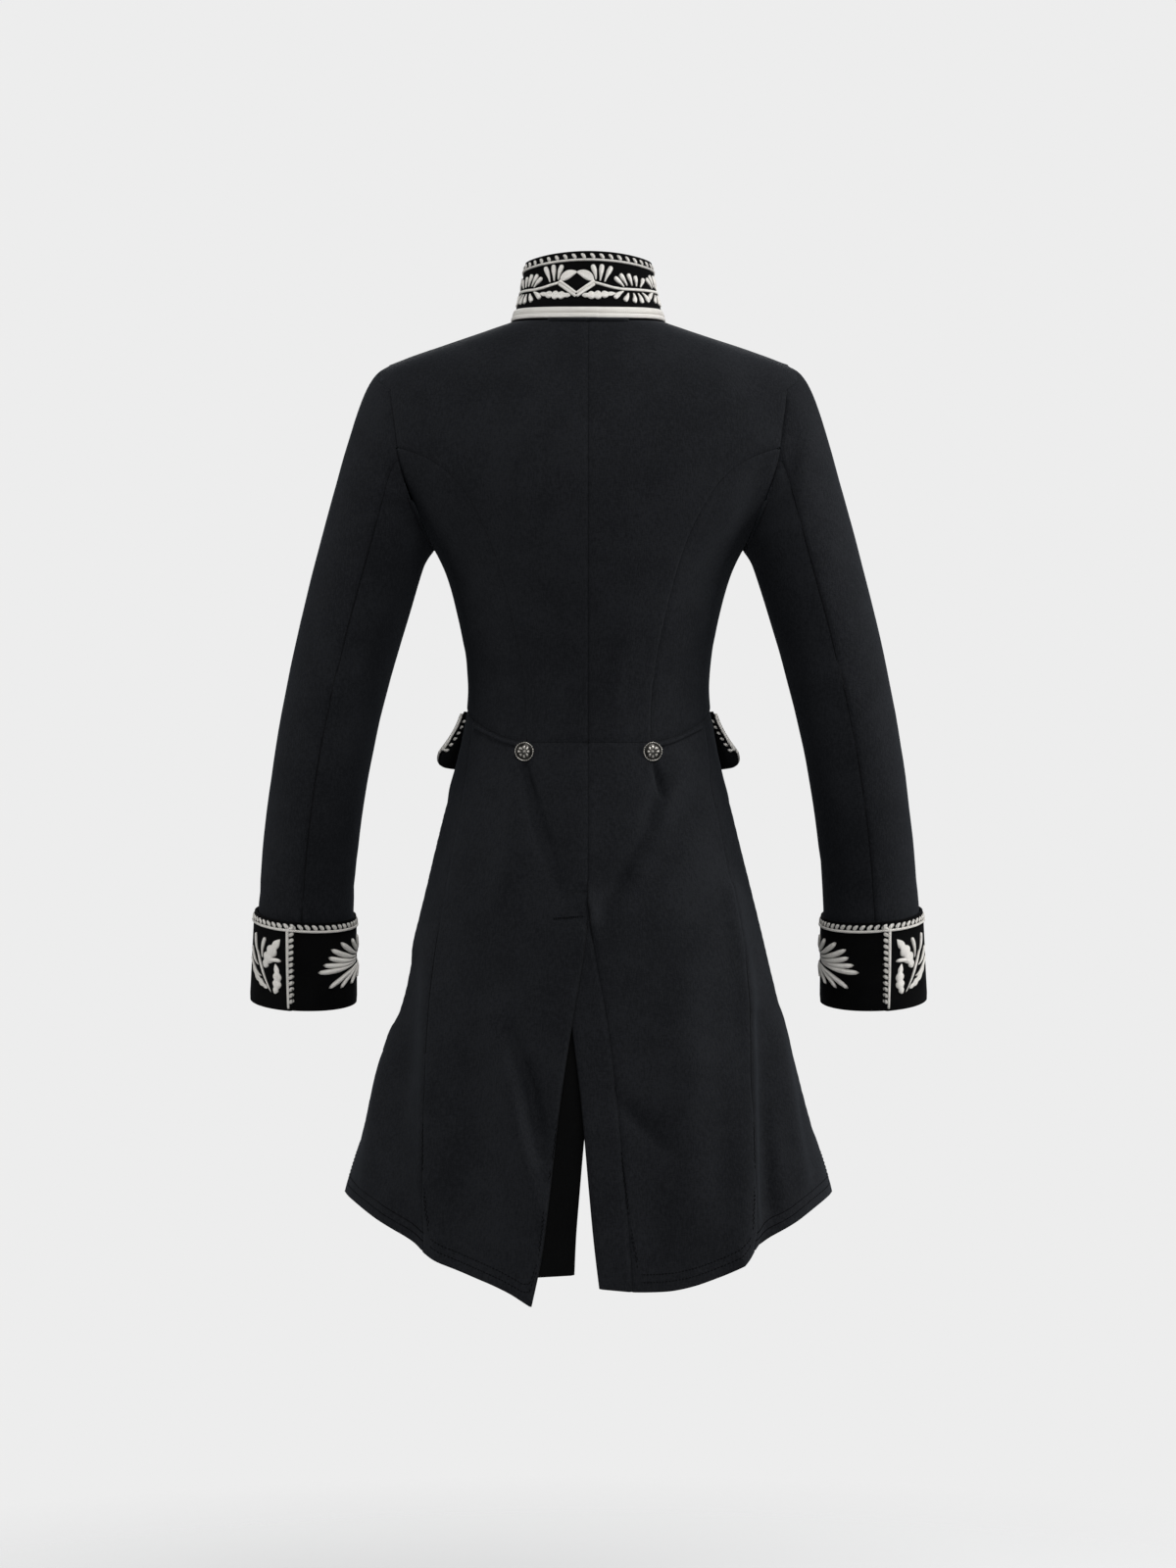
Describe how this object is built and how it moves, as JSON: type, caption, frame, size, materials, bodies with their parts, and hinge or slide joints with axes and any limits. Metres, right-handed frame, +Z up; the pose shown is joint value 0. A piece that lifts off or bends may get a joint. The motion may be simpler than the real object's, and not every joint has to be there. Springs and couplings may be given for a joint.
{
  "type": "tailcoat",
  "caption": "Dark cutaway tailcoat of close wool cloth, filled out as worn, with velvet collar and turned-back cuffs, silver braid, pocket flaps and an open back vent.",
  "frame": {"origin": "between the side neck points, where the shoulders of a wearer or stand carry the coat", "axes": "+Z up, -Y towards the coat's front, +X towards the wearer's left"},
  "size_m": [0.6762, 0.2606, 1.0166],
  "materials": {
    "wool": "matte wool with a short nap",
    "velvet": "matte pile velvet",
    "silver_braid": "satin metal thread",
    "button_metal": "antique silver plate, worn"
  },
  "bodies": {
    "root": {"back_left": "wool", "back_right": "wool", "side_left": "wool", "side_right": "wool", "front_left": "wool", "front_right": "wool", "tail_left": "wool", "tail_right": "wool", "fore_skirt_left": "wool", "fore_skirt_right": "wool", "underlap_right": "wool", "vent_facing_left": "wool", "top_sleeve_left": "wool", "top_sleeve_right": "wool", "under_sleeve_left": "wool", "under_sleeve_right": "wool", "waist_welt_left": "wool", "waist_welt_right": "wool", "cuff_left": "velvet", "cuff_right": "velvet", "collar": "velvet", "pocket_flap_left": "velvet", "pocket_flap_right": "velvet", "cuff_braid_left": "silver_braid", "cuff_braid_right": "silver_braid", "cuff_edge_braid_left": "silver_braid", "cuff_edge_braid_right": "silver_braid", "collar_base_braid": "silver_braid", "collar_top_braid": "silver_braid", "flap_braid_left": "silver_braid", "flap_braid_right": "silver_braid", "back_button_left": "button_metal", "back_button_right": "button_metal"}
  },
  "joints": []
}
